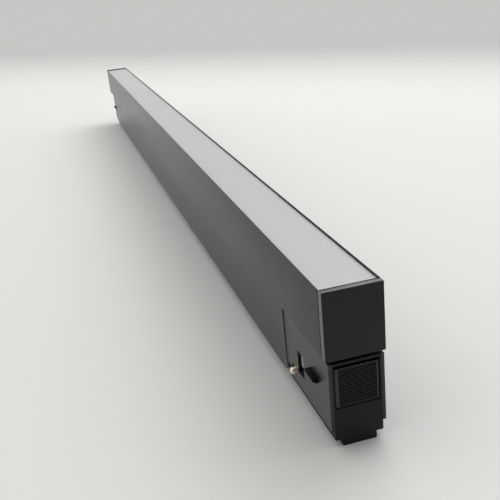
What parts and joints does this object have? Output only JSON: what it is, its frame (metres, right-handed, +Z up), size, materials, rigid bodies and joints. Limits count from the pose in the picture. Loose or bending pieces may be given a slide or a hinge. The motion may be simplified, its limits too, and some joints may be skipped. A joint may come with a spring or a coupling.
{
  "type": "linear led light bar",
  "caption": "Long slim rectangular light bar: opal diffuser in a deep black housing, with a plug-in adapter at each end that has a ribbed release slide, locking lugs and sprung contacts.",
  "frame": {"origin": "centre of the whole bar's box at the foot of the adapters' tongues", "axes": "+X along the bar towards the feed end, +Y to the rear side, +Z up out of the diffuser"},
  "size_m": [1.136, 0.0416, 0.0978],
  "materials": {
    "housing": "black anodised, satin",
    "diffuser": "opal, satin",
    "end_cap": "fine moulded texture",
    "led_board": "white solder mask on an aluminium core",
    "led_package": "white package, yellow phosphor",
    "white_plastic": "natural moulded polyamide",
    "brass": "turned brass",
    "screw": "zinc-plated",
    "gear_tray": "black anodised, satin",
    "driver_case": "white moulded polycarbonate",
    "circuit_board": "green glass-epoxy laminate",
    "ferrite": "sintered ferrite and wound bobbin",
    "capacitor": "shrink sleeve",
    "lead": "insulated wire",
    "grommet": "moulded rubber",
    "adapter": "fine moulded texture",
    "adapter_cover": "fine moulded texture",
    "slide": "fine moulded texture",
    "spring": "drawn spring wire",
    "lug": "glass-filled polyamide",
    "selector": "grey moulded polyamide",
    "copper_strip": "phosphor bronze strip"
  },
  "bodies": {
    "bar": {"housing": "housing", "diffuser": "diffuser", "end_cap_near": "end_cap", "end_cap_far": "end_cap", "led_board_1": "led_board", "led_board_2": "led_board", "led_board_3": "led_board", "led_board_4": "led_board", "led_packages": "led_package", "board_connectors": "white_plastic", "board_links": "brass", "board_screws": "screw", "gear_tray": "gear_tray", "driver_case": "driver_case", "driver_lid": "driver_case", "driver_board": "circuit_board", "driver_transformer": "ferrite", "driver_capacitors": "capacitor", "driver_terminals": "white_plastic", "driver_screws": "screw", "mains_terminal": "white_plastic", "contact_leads": "lead", "mains_leads": "lead", "output_leads": "lead", "lead_grommet": "grommet", "adapter_core_near": "adapter", "adapter_cover_near_front": "adapter_cover", "adapter_cover_near_rear": "adapter_cover", "cover_screws_near": "screw", "release_springs_near": "spring", "lug_spring_near": "spring", "contact_spring_front": "spring", "contact_spring_rear": "spring", "earth_strip": "copper_strip", "adapter_core_far": "adapter", "adapter_cover_far_front": "adapter_cover", "adapter_cover_far_rear": "adapter_cover", "cover_screws_far": "screw", "release_springs_far": "spring", "lug_spring_far": "spring", "adapter_fixing_screws": "screw"},
    "release_near": {"release_slide_near": "slide"},
    "lug_near_front": {"lock_lug_near_front": "lug"},
    "lug_near_rear": {"lock_lug_near_rear": "lug"},
    "selector": {"circuit_selector": "selector", "selector_contact": "brass"},
    "contact_pin_front": {"contact_front": "brass"},
    "contact_pin_rear": {"contact_rear": "brass"},
    "release_far": {"release_slide_far": "slide"},
    "lug_far_front": {"lock_lug_far_front": "lug"},
    "lug_far_rear": {"lock_lug_far_rear": "lug"}
  },
  "joints": [
    {"name": "release_near_slide", "type": "slide", "parent": "bar", "child": "release_near", "axis": [0, 0, 1], "range_m": [0, 0.0018], "stiffness_N_per_m": 900, "springref_m": -0.0015, "deforming": ["release_springs_near"]},
    {"name": "lug_near_front_slide", "type": "slide", "parent": "bar", "child": "lug_near_front", "axis": [0, 1, 0], "range_m": [0, 0.0036], "stiffness_N_per_m": 400, "springref_m": -0.002, "deforming": ["lug_spring_near"]},
    {"name": "lug_near_rear_slide", "type": "slide", "parent": "bar", "child": "lug_near_rear", "axis": [0, -1, 0], "range_m": [0, 0.0036], "stiffness_N_per_m": 400, "springref_m": -0.002},
    {"name": "release_far_slide", "type": "slide", "parent": "bar", "child": "release_far", "axis": [0, 0, 1], "range_m": [0, 0.0018], "stiffness_N_per_m": 900, "springref_m": -0.0015, "deforming": ["release_springs_far"]},
    {"name": "lug_far_front_slide", "type": "slide", "parent": "bar", "child": "lug_far_front", "axis": [0, 1, 0], "range_m": [0, 0.0036], "stiffness_N_per_m": 400, "springref_m": -0.002, "deforming": ["lug_spring_far"]},
    {"name": "lug_far_rear_slide", "type": "slide", "parent": "bar", "child": "lug_far_rear", "axis": [0, -1, 0], "range_m": [0, 0.0036], "stiffness_N_per_m": 400, "springref_m": -0.002},
    {"name": "contact_front_press", "type": "slide", "parent": "bar", "child": "contact_pin_front", "axis": [0, 1, 0], "range_m": [0, 0.0015], "stiffness_N_per_m": 700, "springref_m": -0.001, "deforming": ["contact_spring_front"]},
    {"name": "contact_rear_press", "type": "slide", "parent": "bar", "child": "contact_pin_rear", "axis": [0, -1, 0], "range_m": [0, 0.0015], "stiffness_N_per_m": 700, "springref_m": -0.001, "deforming": ["contact_spring_rear"]},
    {"name": "selector_turn", "type": "hinge", "parent": "bar", "child": "selector", "pos_m": [0.519, -0.0114, 0.0301], "axis": [0, 0, 1], "range_deg": [-30, 60]}
  ],
  "couplings": [
    {"joint": "lug_near_front_slide", "follows": "release_near_slide", "ratio": 2},
    {"joint": "lug_near_rear_slide", "follows": "release_near_slide", "ratio": 2},
    {"joint": "lug_far_front_slide", "follows": "release_far_slide", "ratio": 2},
    {"joint": "lug_far_rear_slide", "follows": "release_far_slide", "ratio": 2}
  ]
}
